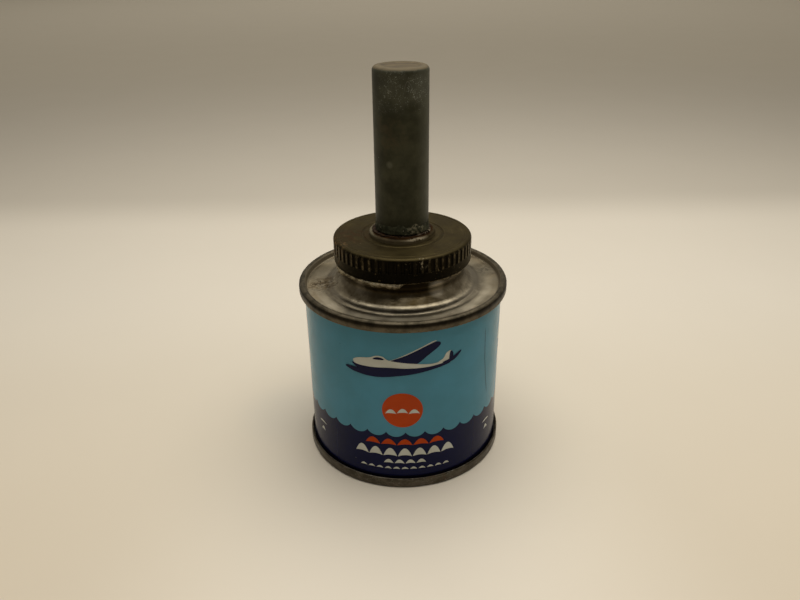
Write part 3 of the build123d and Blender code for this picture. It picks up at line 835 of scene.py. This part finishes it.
def brush_hair():
    """The brush's hair as separate strands, full in the middle, rounded and clotted at the tip."""
    rng = random.Random(HAIR_SEED)
    noise.seed_set(HAIR_SEED)       # without this, noise_vector starts from the clock
    corners, faces = [], []
    start = FERRULE_MOUTH + 2.5
    gripped = FERRULE_R - 1.0
    for _ in range(STRANDS):
        share, turn = math.sqrt(rng.random()), rng.uniform(0, 2 * math.pi)
        tip = HAIR_TIP + 0.3 + 3.4 * share ** 3 + rng.uniform(0, 1.1)
        lean = rng.uniform(-0.12, 0.12)
        base = len(corners)
        for i in range(STRAND_RINGS):
            t = i / (STRAND_RINGS - 1)
            z = start + (tip - start) * t
            fullness = 1 + (HAIR_R / gripped - 1) * math.sin(math.pi * min(1.0, t * 1.05) ** 0.8) ** 0.7
            fullness -= 0.16 * t ** 4
            out = (gripped - STRAND_R) * share * fullness * 0.93
            middle = Vector((out * math.cos(turn + lean * t), out * math.sin(turn + lean * t), z))
            clump = noise.noise_vector(Vector((middle.x, middle.y, z * 0.25)) / 2.2)
            middle += Vector((clump.x, clump.y, 0)) * 0.5 * t
            thick = STRAND_R * (1 - 0.75 * t ** 3)
            for k in range(4):
                around = math.pi / 2 * k + turn
                corners.append((middle + Vector((math.cos(around), math.sin(around), 0)) * thick) * MM)
        for i in range(STRAND_RINGS - 1):
            for k in range(4):
                a, b = base + 4 * i + k, base + 4 * i + (k + 1) % 4
                faces.append((a, a + 4, b + 4, b))
        last = base + 4 * (STRAND_RINGS - 1)
        faces += [(base, base + 1, base + 2, base + 3), (last + 3, last + 2, last + 1, last)]
    mesh = bpy.data.meshes.new("brush_hair")
    mesh.from_pydata(corners, [], faces)
    mesh.shade_smooth()
    mesh.materials.append(soft_solid("bristle_hair", (0.018, 0.012, 0.007), (0.085, 0.055, 0.028), 0.5, 0.55,
                                     0.02, (1, 1, 6)))
    piece = placed(mesh, "brush_cap")
    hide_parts("bristles")


# ---- stage, light and camera ------------------------------------------------------------------------
FLOOR_R = 9000.0
DAYLIGHT = (1.0, 0.96, 0.885)


def floor_material():
    """Pale board, with painted shade behind the object, over the nearer half and beside it at the left,
    painted light in front of it and far back, and warmer towards the front corners.
    """
    p = Paint("floor")
    colour = p.mix(p.times(p.patches(60, 0.35, 0.65, 4), 0.05), (0.66, 0.612, 0.53), (0.53, 0.485, 0.41))
    # painted shade behind, over the nearer half and at the left; painted light in front and far back
    behind = p.times(p.step(p.y, 185, 250), 0.9)
    nearer = p.step(p.y, 110, 15)
    lit_front = p.near((0, -78, 0), 95)
    corners = p.times(p.step(p.math("ABSOLUTE", p.x), 5, 115), p.step(p.y, 60, -75))
    contact = p.near((-39, 8, 0), 22)
    far = p.step(p.y, 350, 900)
    for where, tone in ((behind, (0.78, 0.775, 0.765)), (nearer, (0.95, 0.935, 0.905)),
                        (lit_front, (1.16, 1.17, 1.20)), (corners, (0.985, 0.955, 0.910)),
                        (contact, (0.94, 0.955, 0.975)), (far, (1.12, 1.11, 1.07))):
        colour = p.mix(where, colour, tone, "MULTIPLY")
    return p.finish(colour, 0.85, 0.0, p.bump(p.noise(1.5, 3), 0.01))


def make_floor():
    bm = bmesh.new()
    bmesh.ops.create_circle(bm, cap_ends=True, segments=128, radius=FLOOR_R * MM)
    mesh = bpy.data.meshes.new("floor")
    bm.to_mesh(mesh)
    bm.free()
    mesh.materials.append(floor_material())
    floor = bpy.data.objects.new("floor", mesh)
    bpy.context.scene.collection.objects.link(floor)


def soft_light(name, place, target, size, power, colour, in_reflections=True):
    lamp = bpy.data.lights.new(name, "AREA")
    lamp.shape = "DISK"
    lamp.size = size * MM
    lamp.energy = power
    lamp.color = colour
    light = bpy.data.objects.new(name, lamp)
    light.location = Vector(place) * MM
    light.rotation_euler = (Vector(target) - Vector(place)).to_track_quat("-Z", "Y").to_euler()
    light.visible_camera = False
    light.visible_glossy = in_reflections
    bpy.context.scene.collection.objects.link(light)


def make_world():
    """A dim warm room, lighter behind the object than in front of it."""
    world = bpy.data.worlds.new("room")
    bpy.context.scene.world = world
    world.use_nodes = True
    tree = world.node_tree
    tree.nodes.clear()
    coord = tree.nodes.new("ShaderNodeTexCoord")
    split = tree.nodes.new("ShaderNodeSeparateXYZ")
    side = tree.nodes.new("ShaderNodeMath")
    ramp = tree.nodes.new("ShaderNodeMapRange")
    mix = tree.nodes.new("ShaderNodeMix")
    back = tree.nodes.new("ShaderNodeBackground")
    out = tree.nodes.new("ShaderNodeOutputWorld")
    mix.data_type = "RGBA"
    ramp.interpolation_type = "SMOOTHSTEP"
    ramp.inputs["From Min"].default_value = -0.5
    ramp.inputs["From Max"].default_value = 0.6
    mix.inputs[6].default_value = (0.12, 0.108, 0.09, 1)
    mix.inputs[7].default_value = (0.36, 0.325, 0.265, 1)
    tree.links.new(coord.outputs["Generated"], split.inputs[0])
    side.operation = "MULTIPLY_ADD"
    side.inputs[1].default_value = 0.25
    tree.links.new(split.outputs[0], side.inputs[0])
    tree.links.new(split.outputs[1], side.inputs[2])
    tree.links.new(side.outputs[0], ramp.inputs["Value"])
    tree.links.new(ramp.outputs["Result"], mix.inputs[0])
    tree.links.new(mix.outputs[2], back.inputs["Color"])
    tree.links.new(back.outputs[0], out.inputs["Surface"])


CAMERA_DISTANCE = 212.4
CAMERA_RISE = 26.8        # degrees above the horizon
CAMERA_ROLL = -0.7
CAMERA_AIM = (-0.9, 0.0, 47.0)
LENS = 31.3


def make_camera():
    rise = math.radians(CAMERA_RISE)
    aim = Vector(CAMERA_AIM)
    back = Vector((0, -math.cos(rise), math.sin(rise)))
    data = bpy.data.cameras.new("camera")
    data.lens = LENS
    data.clip_start = 0.01
    camera = bpy.data.objects.new("camera", data)
    turn = (-back).to_track_quat("-Z", "Y").to_matrix().to_4x4()
    turn = turn @ Matrix.Rotation(math.radians(CAMERA_ROLL), 4, "Z")
    camera.matrix_world = Matrix.Translation((aim + back * CAMERA_DISTANCE) * MM) @ turn
    bpy.context.scene.collection.objects.link(camera)
    bpy.context.scene.camera = camera


dress_all()
print_artwork()
wall_scratch()
sealer_under_cap()
sealer_on_handle()
crevice_dirt()
brush_hair()
make_floor()
make_world()
soft_light("softbox", (35, 48, 440), (0, 30, 0), 560, 2.32, DAYLIGHT)
soft_light("backdrop_light", (0, 2100, 1200), (0, 2100, 0), 2800, 10.5, DAYLIGHT, in_reflections=False)
make_camera()
bpy.context.scene.view_settings.view_transform = "Standard"
